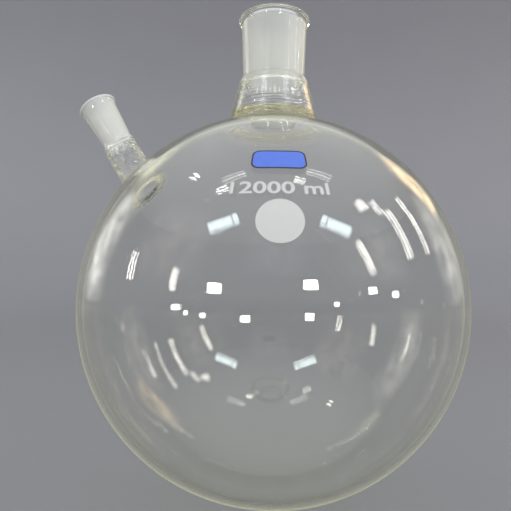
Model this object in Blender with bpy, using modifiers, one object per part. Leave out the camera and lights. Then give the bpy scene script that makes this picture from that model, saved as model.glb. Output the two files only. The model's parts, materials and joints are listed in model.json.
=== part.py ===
"""A twelve-litre, two-neck round bottom flask for the laboratory, as separate glass pieces.

The bulb's lowest point is the origin, +Z runs up the centre neck, the printed side faces -Y and the
side neck leans out towards -X. Lengths are in metres.
"""

import math

import bmesh
import bpy
from mathutils import Matrix, Vector

MM = 0.001
GAP = 0.3 * MM

# Bulb
BULB_RADIUS = 147.0 * MM
BULB_WALL = 4.0 * MM
BULB_STEPS = 48
BULB_ARC_POINTS = 30

# Centre neck, a 45/50 standard taper socket on a flared collar. Heights are above the bulb's centre.
COLLAR_TOP_RADIUS = 28.1 * MM
COLLAR_TOP_HEIGHT = 176.3 * MM
COLLAR_FLARE = 0.25
COLLAR_WALL = 4.2 * MM
COLLAR_SEAL_HEIGHT = 9.5 * MM
COLLAR_SEAL_REACH = 6.0 * MM
SHOULDER_TOP_HEIGHT = 181.2 * MM
SOCKET_FOOT_RADIUS = 24.5 * MM
SOCKET_TOP_RADIUS = 26.2 * MM
RIM_HEIGHT = 231.0 * MM
RIM_RADIUS = 28.7 * MM
RIM_DEPTH = 6.0 * MM
RIM_ROUNDING = 1.8 * MM
TAPER_TOP_RADIUS = 22.5 * MM
TAPER_LENGTH = 50.0 * MM
TAPER_SLOPE = 0.05
LIP_DEPTH = 4.0 * MM
LIP_CHAMFER = 1.2 * MM
FOOT_RELIEF = 0.6 * MM
SHOULDER_ANGLES = (80.0, 62.0, 44.0, 26.0, 0.0)

# Side neck, a 24/40 standard taper socket on a plain tube. Lengths run along its own axis.
SIDE_POLAR_ANGLE = math.radians(48.0)
SIDE_BACK_ANGLE = math.radians(10.0)
SIDE_TILT = math.radians(32.0)
SIDE_LENGTH = 83.0 * MM
SIDE_TUBE_RADIUS = 14.0 * MM
SIDE_TUBE_WALL = 2.5 * MM
SIDE_TUBE_TOP = 38.0 * MM
SIDE_TUBE_DEPTH = 12.0 * MM
SIDE_SHOULDER_SIZE = (0.5 * MM, 0.9 * MM)
SIDE_SHOULDER_TOP = 3.5 * MM
SIDE_SEAL_HEIGHT = 3.6 * MM
SIDE_SEAL_TOP_RADIUS = 16.4 * MM
SIDE_SEAL_RADIUS = 20.0 * MM
SIDE_SEAL_INNER_RADIUS = 8.4 * MM
SIDE_SEAL_CURVE = 0.8 * MM
SIDE_SOCKET_FOOT_RADIUS = 12.4 * MM
SIDE_SOCKET_TOP_RADIUS = 14.6 * MM
SIDE_RIM_RADIUS = 16.3 * MM
SIDE_RIM_DEPTH = 5.0 * MM
SIDE_RIM_ROUNDING = 1.2 * MM
SIDE_LIP_CHAMFER = 0.9 * MM
SIDE_TAPER_TOP_RADIUS = 12.0 * MM
SIDE_TAPER_LENGTH = 40.0 * MM
SIDE_LIP_DEPTH = 1.5 * MM
CUTTER_REACH = 30.0 * MM
NECK_STEPS = 48
SIDE_STEPS = 32

# Fired enamel marks on the front, placed by their height angle over the bulb's equator
ENAMEL_THICKNESS = 0.3 * MM
SPOT_RADIUS = 13.4 * MM
SPOT_ANGLE = math.radians(20.9)
CAPACITY_SIZE = (56.0 * MM, 9.0 * MM)
CAPACITY_CORNER = 1.5 * MM
CAPACITY_STEPS = (8, 2)
CAPACITY_ANGLE = math.radians(29.2)
BADGE_SIZE = (32.0 * MM, 16.0 * MM)
BADGE_BORDER = 1.4 * MM
BADGE_CORNER = 4.5 * MM
BADGE_STEPS = (5, 2)
CORNER_POINTS = 4
BADGE_ANGLE = math.radians(38.0)

BULB_CENTRE = Vector((0.0, 0.0, BULB_RADIUS))


def clear_scene():
    """Removes every object that the file opens with."""
    for found in list(bpy.data.objects):
        bpy.data.objects.remove(found, do_unlink=True)


def new_collection(name):
    collection = bpy.data.collections.new(name)
    bpy.context.scene.collection.children.link(collection)
    return collection


def glass(name, colour, roughness):
    """A see-through borosilicate finish, clear or ground."""
    finish = bpy.data.materials.new(name)
    finish.use_nodes = True
    shader = finish.node_tree.nodes["Principled BSDF"]
    shader.inputs["Base Color"].default_value = (*colour, 1.0)
    shader.inputs["Roughness"].default_value = roughness
    shader.inputs["Metallic"].default_value = 0.0
    shader.inputs["Transmission Weight"].default_value = 1.0
    shader.inputs["IOR"].default_value = 1.47
    return finish


def enamel(name, colour):
    """An opaque fired enamel finish."""
    finish = bpy.data.materials.new(name)
    finish.use_nodes = True
    shader = finish.node_tree.nodes["Principled BSDF"]
    shader.inputs["Base Color"].default_value = (*colour, 1.0)
    shader.inputs["Roughness"].default_value = 0.55
    shader.inputs["Metallic"].default_value = 0.0
    return finish


def arc(centre, radius, start, end, points):
    """Points along a circular arc in the (radius, height) plane, angles in degrees from +radius."""
    angles = [math.radians(start + (end - start) * i / (points - 1)) for i in range(points)]
    return [(centre[0] + radius * math.cos(a), centre[1] + radius * math.sin(a)) for a in angles]


def bezier(start, control, end, points):
    """Points along a quadratic curve that leaves start and reaches end along the lines to control."""
    curve = []
    for i in range(points):
        t = i / (points - 1)
        weights = ((1.0 - t) ** 2, 2.0 * t * (1.0 - t), t * t)
        curve.append(tuple(sum(w * p[k] for w, p in zip(weights, (start, control, end))) for k in (0, 1)))
    return curve


def add_object(name, mesh, collection, finish=None, parent=None):
    made = bpy.data.objects.new(name, mesh)
    collection.objects.link(made)
    made.parent = parent
    if finish is not None:
        mesh.materials.append(finish)
    return made


def turned(name, profile, steps, collection, finish=None, parent=None, closed=True):
    """A body turned about its own Z axis from a profile that runs down its outer side."""
    mesh = bpy.data.meshes.new(name)
    count = len(profile)
    edges = [(i, i + 1) for i in range(count - 1)] + ([(count - 1, 0)] if closed else [])
    mesh.from_pydata([(r, 0.0, z) for r, z in profile], edges, [])
    made = add_object(name, mesh, collection, finish, parent)
    screw = made.modifiers.new("turn", "SCREW")
    screw.angle = 2.0 * math.pi
    screw.steps = steps
    screw.render_steps = steps
    screw.use_merge_vertices = True
    screw.merge_threshold = 0.00001
    screw.use_smooth_shade = True
    return made


def cut(made, cutter):
    """Takes a cutter out of a body."""
    boolean = made.modifiers.new("cut_" + cutter.name, "BOOLEAN")
    boolean.operation = "DIFFERENCE"
    boolean.solver = "EXACT"
    boolean.object = cutter


def as_cutter(made):
    made.hide_render = True
    made.display_type = "WIRE"
    return made


def on_bulb(radius, shell):
    """The height of a shell round the bulb's centre at a distance from its axis."""
    return math.sqrt(shell * shell - radius * radius)


def collar_radius(height):
    """The collar's outer radius at a height above the bulb's centre."""
    return COLLAR_TOP_RADIUS + COLLAR_FLARE * (COLLAR_TOP_HEIGHT - height)


def collar_foot(wall_offset, shell):
    """Where the collar's outer or inner line meets a shell round the bulb's centre."""
    height = COLLAR_TOP_HEIGHT
    for _ in range(60):
        height = on_bulb(collar_radius(height) - wall_offset, shell)
    return collar_radius(height) - wall_offset, height


def bulb_profile():
    """From the inner pole up the inside, over the neck hole's edge and down the outside."""
    inner = BULB_RADIUS - BULB_WALL
    hole = collar_foot(COLLAR_WALL, BULB_RADIUS)[0]
    inside_end = math.degrees(math.acos(hole / inner))
    outside_start = math.degrees(math.acos(hole / BULB_RADIUS))
    inside = arc((0.0, 0.0), inner, -90.0, inside_end, BULB_ARC_POINTS)
    outside = arc((0.0, 0.0), BULB_RADIUS, outside_start, -90.0, BULB_ARC_POINTS)
    inside[0] = (0.0, -inner)
    outside[-1] = (0.0, -BULB_RADIUS)
    return inside + outside


def leaning(tilt):
    """A unit vector that leans from +Z towards the side neck by an angle."""
    outwards = Vector((-math.cos(SIDE_BACK_ANGLE), math.sin(SIDE_BACK_ANGLE), 0.0))
    return outwards * math.sin(tilt) + Vector((0.0, 0.0, math.cos(tilt)))


def add_axis(name, origin, along, collection):
    """An empty whose Z axis runs along a direction."""
    empty = bpy.data.objects.new(name, None)
    collection.objects.link(empty)
    turn = Vector((0.0, 0.0, 1.0)).rotation_difference(along)
    empty.matrix_world = Matrix.Translation(origin) @ turn.to_matrix().to_4x4()
    return empty


def add_rod_cutter(name, radius, cutters, parent):
    """A rod along an axis, to drill or clear the side neck's way."""
    profile = [(0.0, CUTTER_REACH), (radius, CUTTER_REACH), (radius, -CUTTER_REACH), (0.0, -CUTTER_REACH)]
    return as_cutter(turned(name, profile, SIDE_STEPS, cutters, parent=parent, closed=False))


def add_bulb(parts, cutters, centre, side, finish):
    """The blown bulb, open at the collar and at the side tube."""
    bulb = turned("flask_bulb", bulb_profile(), BULB_STEPS, parts, finish, centre, closed=False)
    cut(bulb, add_rod_cutter("side_hole_cutter", SIDE_TUBE_RADIUS - SIDE_TUBE_WALL, cutters, side))


def add_collar(parts, centre, finish):
    """The flared collar that stands on the bulb round the neck hole."""
    foot_outer = collar_foot(0.0, BULB_RADIUS + GAP)
    foot_inner = collar_foot(COLLAR_WALL, BULB_RADIUS + GAP)
    profile = [
        (COLLAR_TOP_RADIUS, COLLAR_TOP_HEIGHT),
        foot_outer,
        foot_inner,
        (COLLAR_TOP_RADIUS - COLLAR_WALL, COLLAR_TOP_HEIGHT),
    ]
    turned("centre_neck_collar", profile, NECK_STEPS, parts, finish, centre)


def add_collar_seal(parts, centre, finish):
    """The fused fillet in the corner between collar and bulb."""
    corner = collar_foot(-GAP, BULB_RADIUS + GAP)
    top_height = corner[1] + COLLAR_SEAL_HEIGHT
    top = (collar_radius(top_height) + GAP, top_height)
    outer_radius = corner[0] + COLLAR_SEAL_REACH
    outer = (outer_radius, on_bulb(outer_radius, BULB_RADIUS + GAP))
    turned("centre_neck_seal", bezier(top, corner, outer, 7) + [corner], NECK_STEPS, parts, finish, centre)


def add_centre_socket(parts, centre, finish):
    """The ground 45/50 socket with its fire-polished rim."""
    foot = COLLAR_TOP_HEIGHT + GAP
    taper_top = RIM_HEIGHT - LIP_DEPTH
    taper_foot = taper_top - TAPER_LENGTH
    foot_bore = TAPER_TOP_RADIUS - TAPER_SLOPE * TAPER_LENGTH
    rim_middle = (RIM_RADIUS - RIM_ROUNDING, RIM_HEIGHT - RIM_ROUNDING)
    rim = arc(rim_middle, RIM_ROUNDING, 90.0, -45.0, 6)
    profile = rim + [
        (SOCKET_TOP_RADIUS, RIM_HEIGHT - RIM_DEPTH),
        (SOCKET_FOOT_RADIUS, SHOULDER_TOP_HEIGHT),
        (SOCKET_FOOT_RADIUS, foot),
        (foot_bore + FOOT_RELIEF, foot),
        (foot_bore, taper_foot),
        (TAPER_TOP_RADIUS, taper_top),
        (TAPER_TOP_RADIUS + GAP, RIM_HEIGHT - LIP_CHAMFER),
        (TAPER_TOP_RADIUS + LIP_CHAMFER, RIM_HEIGHT),
    ]
    turned("centre_joint_socket", profile, NECK_STEPS, parts, finish, centre)


def add_shoulder_seal(parts, centre, finish):
    """The rounded ring that closes the collar's top onto the socket."""
    foot = COLLAR_TOP_HEIGHT + GAP
    inner = SOCKET_FOOT_RADIUS + GAP
    reach = COLLAR_TOP_RADIUS - inner
    height = SHOULDER_TOP_HEIGHT - foot
    angles = [math.radians(a) for a in SHOULDER_ANGLES]
    shoulder = [(inner + reach * math.cos(a), foot + height * math.sin(a)) for a in angles]
    profile = shoulder + [(inner, foot), (inner, shoulder[0][1])]
    turned("centre_shoulder_seal", profile, NECK_STEPS, parts, finish, centre)


def add_side_tube(parts, side, bulb_cutter, finish):
    """The plain tube that carries the side socket, cut to the bulb's curve at its foot."""
    bore = SIDE_TUBE_RADIUS - SIDE_TUBE_WALL
    profile = [
        (SIDE_TUBE_RADIUS, SIDE_TUBE_TOP),
        (SIDE_TUBE_RADIUS, -SIDE_TUBE_DEPTH),
        (bore, -SIDE_TUBE_DEPTH),
        (bore, SIDE_TUBE_TOP),
    ]
    cut(turned("side_neck_tube", profile, SIDE_STEPS, parts, finish, side), bulb_cutter)


def add_side_seal(parts, cutters, side, upright, bulb_cutter, finish):
    """The fused bead round the side tube's foot, following the bulb's surface."""
    top = (SIDE_SEAL_TOP_RADIUS, SIDE_SEAL_HEIGHT)
    outer = (SIDE_SEAL_RADIUS, on_bulb(SIDE_SEAL_RADIUS, BULB_RADIUS) - BULB_RADIUS)
    profile = bezier(top, (SIDE_SEAL_TOP_RADIUS + SIDE_SEAL_CURVE, 0.0), outer, 5) + [
        (SIDE_SEAL_RADIUS, -SIDE_SEAL_HEIGHT),
        (SIDE_SEAL_INNER_RADIUS, -SIDE_SEAL_HEIGHT),
        (SIDE_SEAL_INNER_RADIUS, SIDE_SEAL_HEIGHT),
    ]
    bead = turned("side_neck_seal", profile, SIDE_STEPS, parts, finish, upright)
    cut(bead, add_rod_cutter("side_tube_cutter", SIDE_TUBE_RADIUS + GAP, cutters, side))
    cut(bead, bulb_cutter)


def add_side_socket(parts, side, finish):
    """The ground 24/40 socket with its flared rim and the shoulder over the side tube."""
    foot = SIDE_TUBE_TOP + GAP
    taper_top = SIDE_LENGTH - SIDE_LIP_DEPTH
    taper_foot = taper_top - SIDE_TAPER_LENGTH
    foot_bore = SIDE_TAPER_TOP_RADIUS - TAPER_SLOPE * SIDE_TAPER_LENGTH
    rim_middle = (SIDE_RIM_RADIUS - SIDE_RIM_ROUNDING, SIDE_LENGTH - SIDE_RIM_ROUNDING)
    rim = arc(rim_middle, SIDE_RIM_ROUNDING, 90.0, -40.0, 6)
    profile = rim + [
        (SIDE_SOCKET_TOP_RADIUS, SIDE_LENGTH - SIDE_RIM_DEPTH),
        (SIDE_SOCKET_FOOT_RADIUS, taper_foot + SIDE_SHOULDER_TOP),
        (SIDE_TUBE_RADIUS - SIDE_SHOULDER_SIZE[0], foot + SIDE_SHOULDER_SIZE[1]),
        (SIDE_TUBE_RADIUS, foot),
        (SIDE_TUBE_RADIUS - SIDE_TUBE_WALL, foot),
        (foot_bore, taper_foot),
        (SIDE_TAPER_TOP_RADIUS, taper_top),
        (SIDE_TAPER_TOP_RADIUS + SIDE_LIP_CHAMFER, SIDE_LENGTH),
    ]
    turned("side_joint_socket", profile, SIDE_STEPS, parts, finish, side)


def add_bulb_cutter(cutters, centre):
    """A ball a gap larger than the bulb, to shape what stands on it."""
    mesh = bpy.data.meshes.new("bulb_cutter")
    ball = bmesh.new()
    bmesh.ops.create_uvsphere(ball, u_segments=96, v_segments=48, radius=BULB_RADIUS + GAP)
    ball.to_mesh(mesh)
    ball.free()
    return as_cutter(add_object("bulb_cutter", mesh, cutters, parent=centre))


def add_spot(parts, centre, finish):
    """The round write-on spot."""
    low = BULB_RADIUS + GAP
    high = low + ENAMEL_THICKNESS
    half = math.degrees(SPOT_RADIUS / BULB_RADIUS)
    top = arc((0.0, 0.0), high, 90.0, 90.0 - half, 5)
    under = arc((0.0, 0.0), low, 90.0 - half, 90.0, 5)
    top[0] = (0.0, high)
    under[-1] = (0.0, low)
    spot = turned("marking_spot", top + under, SIDE_STEPS, parts, finish, centre, closed=False)
    spot.rotation_euler = (math.pi / 2.0 - SPOT_ANGLE, 0.0, 0.0)


def rounded_outline(width, height, corner, steps_x, steps_y):
    """A rounded rectangle about the origin, anticlockwise, with steps along its straight sides."""
    outline = []
    for quarter, steps in enumerate((steps_x, steps_y, steps_x, steps_y)):
        start = quarter * math.pi / 2.0
        cx = (width / 2.0 - corner) * (1.0 if quarter in (0, 3) else -1.0)
        cy = (height / 2.0 - corner) * (1.0 if quarter in (0, 1) else -1.0)
        for i in range(CORNER_POINTS):
            a = start + math.pi / 2.0 * i / (CORNER_POINTS - 1)
            outline.append((cx + corner * math.cos(a), cy + corner * math.sin(a)))
        run = (width if quarter in (0, 2) else height) - 2.0 * corner
        last = outline[-1]
        turn = start + math.pi / 2.0
        heading = (-math.sin(turn), math.cos(turn))
        for i in range(1, steps):
            outline.append((last[0] + heading[0] * run * i / steps, last[1] + heading[1] * run * i / steps))
    return outline


def wrapped(u, v, angle, shell):
    """A point of the flat print at (u, v) laid on a ball at a height angle over its equator."""
    turn = u / (shell * math.cos(angle))
    height = angle + v / shell
    return Vector((
        shell * math.cos(height) * math.sin(turn),
        -shell * math.cos(height) * math.cos(turn),
        shell * math.sin(height),
    ))


def print_mesh(name, loops, angle, filled):
    """An open sheet on the bulb between nested outlines, filled at its middle if asked."""
    mesh = bpy.data.meshes.new(name)
    sheet = bmesh.new()
    shell = BULB_RADIUS + GAP
    rings = [[sheet.verts.new(wrapped(u, v, angle, shell)) for u, v in loop] for loop in loops]
    for outer, inner in zip(rings, rings[1:]):
        for i in range(len(outer)):
            j = (i + 1) % len(outer)
            sheet.faces.new((outer[i], outer[j], inner[j], inner[i]))
    if filled:
        middle = sheet.verts.new(wrapped(0.0, 0.0, angle, shell))
        last = rings[-1]
        for i in range(len(last)):
            sheet.faces.new((last[i], last[(i + 1) % len(last)], middle))
    sheet.to_mesh(mesh)
    sheet.free()
    return mesh


def add_print(name, loops, angle, filled, parts, centre, finish):
    """One enamel mark, given its thickness outwards."""
    mark = add_object(name, print_mesh(name, loops, angle, filled), parts, finish, centre)
    solidify = mark.modifiers.new("thickness", "SOLIDIFY")
    solidify.thickness = ENAMEL_THICKNESS
    solidify.offset = 1.0


def nested(width, height, corner, steps, shares):
    """Rounded outlines at several shares of a full size."""
    return [rounded_outline(width * s, height * s, corner * s, *steps) for s in shares]


def add_badge(parts, centre, fill_finish, border_finish):
    """A plain blue panel inside a dark border line."""
    width, height = BADGE_SIZE
    inner_width, inner_height = width - 2.0 * BADGE_BORDER, height - 2.0 * BADGE_BORDER
    inner_corner = BADGE_CORNER - BADGE_BORDER
    border = [
        rounded_outline(width, height, BADGE_CORNER, *BADGE_STEPS),
        rounded_outline(inner_width, inner_height, inner_corner, *BADGE_STEPS),
    ]
    add_print("badge_border", border, BADGE_ANGLE, False, parts, centre, border_finish)
    panel_size = (inner_width - 2.0 * GAP, inner_height - 2.0 * GAP)
    panel = nested(*panel_size, inner_corner, BADGE_STEPS, (1.0, 0.5))
    add_print("badge_panel", panel, BADGE_ANGLE, True, parts, centre, fill_finish)


def main():
    clear_scene()
    parts = new_collection("round_bottom_flask")
    cutters = new_collection("cutters")
    clear = glass("clear_borosilicate", (0.93, 0.96, 0.93), 0.02)
    seal = glass("fused_seal", (0.92, 0.94, 0.84), 0.06)
    ground = glass("ground_borosilicate", (0.82, 0.84, 0.81), 0.6)
    white = enamel("white_enamel", (0.72, 0.73, 0.73))
    blue = enamel("blue_enamel", (0.09, 0.17, 0.68))
    dark = enamel("dark_enamel", (0.012, 0.013, 0.02))

    centre = add_axis("bulb_centre", BULB_CENTRE, Vector((0.0, 0.0, 1.0)), parts)
    outward = leaning(SIDE_POLAR_ANGLE)
    foot = BULB_CENTRE + outward * BULB_RADIUS
    side = add_axis("side_neck_axis", foot, leaning(SIDE_TILT), parts)
    upright = add_axis("side_foot_normal", foot, outward, parts)
    bpy.context.view_layer.update()
    bulb_cutter = add_bulb_cutter(cutters, centre)

    add_bulb(parts, cutters, centre, side, clear)
    add_collar(parts, centre, clear)
    add_collar_seal(parts, centre, seal)
    add_centre_socket(parts, centre, ground)
    add_shoulder_seal(parts, centre, seal)
    add_side_tube(parts, side, bulb_cutter, clear)
    add_side_seal(parts, cutters, side, upright, bulb_cutter, seal)
    add_side_socket(parts, side, ground)
    add_spot(parts, centre, white)
    band = nested(*CAPACITY_SIZE, CAPACITY_CORNER, CAPACITY_STEPS, (1.0, 0.5))
    add_print("capacity_mark", band, CAPACITY_ANGLE, True, parts, centre, white)
    add_badge(parts, centre, blue, dark)


main()
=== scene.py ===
"""The looks of a twelve-litre, two-neck round bottom flask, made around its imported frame.

Lengths are in metres, +Z runs up the centre neck and the printed side faces -Y. The blown and turned
glass is a set of closed walls that meet at seams which light passes straight through, as it does where
a glassblower has fused two pieces.
"""

import json
import logging
import math
from dataclasses import dataclass, replace
from enum import Enum
from typing import Optional, Sequence, Union

import bmesh
import bpy
from mathutils import Matrix, Vector

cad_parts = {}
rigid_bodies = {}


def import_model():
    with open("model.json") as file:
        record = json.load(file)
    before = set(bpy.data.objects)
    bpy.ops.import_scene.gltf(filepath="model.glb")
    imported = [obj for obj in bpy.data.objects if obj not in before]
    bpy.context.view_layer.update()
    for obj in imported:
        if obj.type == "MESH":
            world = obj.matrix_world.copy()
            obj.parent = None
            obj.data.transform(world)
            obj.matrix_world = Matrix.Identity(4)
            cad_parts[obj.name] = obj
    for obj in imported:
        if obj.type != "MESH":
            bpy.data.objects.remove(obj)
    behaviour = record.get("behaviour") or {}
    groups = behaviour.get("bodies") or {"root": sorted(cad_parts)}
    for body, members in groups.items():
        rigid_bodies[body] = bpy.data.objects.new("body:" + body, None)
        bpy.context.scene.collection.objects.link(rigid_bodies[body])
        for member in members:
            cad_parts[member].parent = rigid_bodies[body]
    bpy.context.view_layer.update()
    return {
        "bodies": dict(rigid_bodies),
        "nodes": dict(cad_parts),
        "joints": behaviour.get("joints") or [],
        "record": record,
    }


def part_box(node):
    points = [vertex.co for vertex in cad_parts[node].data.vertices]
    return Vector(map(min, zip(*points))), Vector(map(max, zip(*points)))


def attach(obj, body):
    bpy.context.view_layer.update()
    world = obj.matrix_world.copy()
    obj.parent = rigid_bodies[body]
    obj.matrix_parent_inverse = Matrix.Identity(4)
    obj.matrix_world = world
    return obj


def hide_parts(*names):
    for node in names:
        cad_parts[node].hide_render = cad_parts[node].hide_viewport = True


LOG = logging.getLogger("round_bottom_flask")
MM = 0.001
# The gap at a fused seam, and the distances within which doubled points are merged.
SEAM_GAP = 0.02 * MM
MERGE = 1e-6
PRINT_MERGE = 5e-6
# Edges sharper than this many degrees stay sharp.
CREASE = 35.0
# How far the lamps hang from the bulb's centre, and a panel's peak over its mean cloud.
DOME = 3.0
CLOUD_GAIN = 3.2
# Where the yellow of the neck's weld starts over the bulb's centre, and how far up it is full.
SEAL_FOOT = 140.7 * MM
SEAL_RISE = 5.0 * MM

Triple = tuple[float, float, float]
Colour = Triple
Point = tuple[float, float]
Owner = Union[bpy.types.Material, bpy.types.World]


class Skin(Enum):
    """What a stretch of a glass wall is, named for the face attribute that marks it."""

    CLEAR = "clear"
    GROUND = "ground"
    SEAM = "seam"


# ---------------------------------------------------------------------------------------------------
# Shader building


class Signal:
    """A node's output, which Python's operators turn into Math nodes."""

    def __init__(self, recipe: "Recipe", socket: bpy.types.NodeSocket) -> None:
        """Wraps a socket."""
        self.recipe = recipe
        self.socket = socket

    def _math(self, operation: str, first: "Value", second: "Value") -> "Signal":
        """Joins two values with a Math node."""
        return self.recipe.node("ShaderNodeMath", {"operation": operation}, {0: first, 1: second})

    def __add__(self, other: "Value") -> "Signal":
        """Adds a value."""
        return self._math("ADD", self, other)

    __radd__ = __add__

    def __sub__(self, other: "Value") -> "Signal":
        """Takes a value away."""
        return self._math("SUBTRACT", self, other)

    def __rsub__(self, other: "Value") -> "Signal":
        """Takes this from a value."""
        return self._math("SUBTRACT", other, self)

    def __mul__(self, other: "Value") -> "Signal":
        """Multiplies by a value."""
        return self._math("MULTIPLY", self, other)

    __rmul__ = __mul__

    def __pow__(self, other: "Value") -> "Signal":
        """Raises to a power."""
        return self._math("POWER", self, other)


Value = Union[Signal, float, Sequence[float]]


class Recipe:
    """The node tree of a material, or of the world's light, while it is built."""

    def __init__(self, owner: Owner) -> None:
        """Empties the tree.

        Args:
            owner: the material or the world that it belongs to.
        """
        owner.use_nodes = True
        self.owner = owner
        self.tree = owner.node_tree
        self.tree.nodes.clear()

    def node(
        self,
        kind: str,
        settings: Optional[dict] = None,
        inputs: Optional[dict[Union[str, int], Value]] = None,
        output: Union[str, int] = 0,
    ) -> Signal:
        """Adds a node.

        Args:
            kind: the node's type.
            settings: its properties, and "stops" as the (place, colour) pairs of a ramp's two ends.
            inputs: what each socket is given, a number, a colour or another node's output.
            output: which output is wanted.

        Returns:
            The wanted output.
        """
        made = self.tree.nodes.new(kind)
        for key, value in (settings or {}).items():
            if key == "stops":
                self._set_stops(made.color_ramp, value)
            else:
                setattr(made, key, value)
        for key, value in (inputs or {}).items():
            if isinstance(value, Signal):
                self.tree.links.new(value.socket, made.inputs[key])
            else:
                made.inputs[key].default_value = value
        return Signal(self, made.outputs[output])

    @staticmethod
    def _set_stops(ramp: bpy.types.ColorRamp, stops: Sequence[tuple[float, Colour]]) -> None:
        """Gives a ramp its two ends and eases it between them.

        Args:
            ramp: the ramp.
            stops: the place and colour of each end.
        """
        ramp.interpolation = "EASE"
        for element, (place, colour) in zip(ramp.elements, stops):
            element.position = place
            element.color = (*colour, 1.0)

    def place(self) -> Signal:
        """The point on the piece, in metres."""
        return self.node("ShaderNodeTexCoord", output="Object")

    def along(self, axis: Triple) -> Signal:
        """How far along an axis the point is, in metres."""
        dot = {0: self.place(), 1: axis}
        return self.node("ShaderNodeVectorMath", {"operation": "DOT_PRODUCT"}, dot, "Value")

    def rise(self, value: Signal, low: float, high: float, top: float = 1.0) -> Signal:
        """A smooth rise from 0, where a value is low, to the top, where it is high."""
        reach = {0: value, 1: low, 2: high, 3: 0.0, 4: top}
        return self.node("ShaderNodeMapRange", {"interpolation_type": "SMOOTHSTEP"}, reach)

    def noise(self, where: Signal, feature: float, detail: float = 2.0) -> Signal:
        """Cloudy noise about 0.5, with clouds of one size and finer layers in them."""
        inputs = {"Vector": where, "Scale": 1.0 / feature, "Detail": detail, "Roughness": 0.5}
        return self.node("ShaderNodeTexNoise", None, inputs, "Fac")

    def mix(self, share: Value, first: Union[Signal, Colour], second: Union[Signal, Colour]) -> Signal:
        """Mixes two colours, the second by the given share."""
        colours = [c if isinstance(c, Signal) else (*c, 1.0) for c in (first, second)]
        return self.node("ShaderNodeMix", {"data_type": "RGBA"}, {0: share, 6: colours[0], 7: colours[1]}, 2)

    def blend(self, share: Value, first: Signal, second: Signal) -> Signal:
        """Mixes two shaders, the second by the given share."""
        return self.node("ShaderNodeMixShader", None, {0: share, 1: first, 2: second})

    def bump(self, height: Signal) -> Signal:
        """The normal that a height in metres bends."""
        return self.node("ShaderNodeBump", None, {"Strength": 1.0, "Distance": 1.0, "Height": height})

    def principled(self, inputs: dict[Union[str, int], Value]) -> Signal:
        """A Principled shader with the given sockets."""
        return self.node("ShaderNodeBsdfPrincipled", None, inputs)

    def let_lamps_through(self, glass: Signal, tint: Colour) -> Signal:
        """Lets shadow rays and rays from matt surfaces pass glass straight.

        Args:
            glass: the glass shader that everything else sees.
            tint: what the glass takes from that light.

        Returns:
            The mixed shader.
        """
        clear = self.node("ShaderNodeBsdfTransparent", None, {"Color": (*tint, 1.0)})
        for ray in ("Is Shadow Ray", "Is Diffuse Ray"):
            glass = self.blend(self.node("ShaderNodeLightPath", output=ray), glass, clear)
        return glass

    def attribute(self, skin: Skin) -> Signal:
        """The face attribute that marks a skin, 1 on it and 0 elsewhere."""
        return self.node("ShaderNodeAttribute", {"attribute_name": skin.value}, output="Fac")

    def finish(self, surface: Signal, volume: Optional[Signal] = None) -> Owner:
        """Ends the tree.

        Args:
            surface: the surface's shader.
            volume: the shader of what lies behind it.

        Returns:
            The material or the world.
        """
        sky = isinstance(self.owner, bpy.types.World)
        end = self.tree.nodes.new("ShaderNodeOutputWorld" if sky else "ShaderNodeOutputMaterial")
        self.tree.links.new(surface.socket, end.inputs["Surface"])
        if volume is not None:
            self.tree.links.new(volume.socket, end.inputs["Volume"])
        return self.owner


# ---------------------------------------------------------------------------------------------------
# Finishes


@dataclass(frozen=True)
class Grinding:
    """A fine-ground skin: white where light scatters in it, with faint lines round its axis."""

    axis: Triple
    tint: Colour = (0.78, 0.785, 0.765)
    shade: Colour = (0.72, 0.725, 0.705)
    roughness: float = 0.5
    clearness: float = 0.45
    ior: float = 1.47
    line: float = 0.35 * MM
    line_depth: float = 0.01 * MM
    grain: float = 0.12 * MM
    grain_depth: float = 0.006 * MM
    cloud: float = 7.0 * MM
    cloud_share: float = 0.7
    spread: float = 0.12

    def shade_in(self, recipe: Recipe) -> Signal:
        """The ground skin's shader.

        Args:
            recipe: the material that it is part of.

        Returns:
            The shader.
        """
        where = recipe.place()
        turning = {"W": recipe.along(self.axis) * (1.0 / self.line), "Scale": 1.0, "Detail": 3.0}
        lines = recipe.node("ShaderNodeTexNoise", {"noise_dimensions": "1D"}, turning, "Fac")
        clouds = recipe.noise(where, self.cloud, 3.0)
        share = clouds * self.cloud_share + lines * (1.0 - self.cloud_share)
        height = lines * self.line_depth + recipe.noise(where, self.grain, 1.0) * self.grain_depth
        return recipe.principled({
            "Base Color": recipe.mix(share, self.tint, self.shade),
            "Roughness": clouds * self.spread + (self.roughness - self.spread / 2.0),
            "IOR": self.ior,
            "Transmission Weight": self.clearness,
            "Normal": recipe.bump(height),
        })


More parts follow.
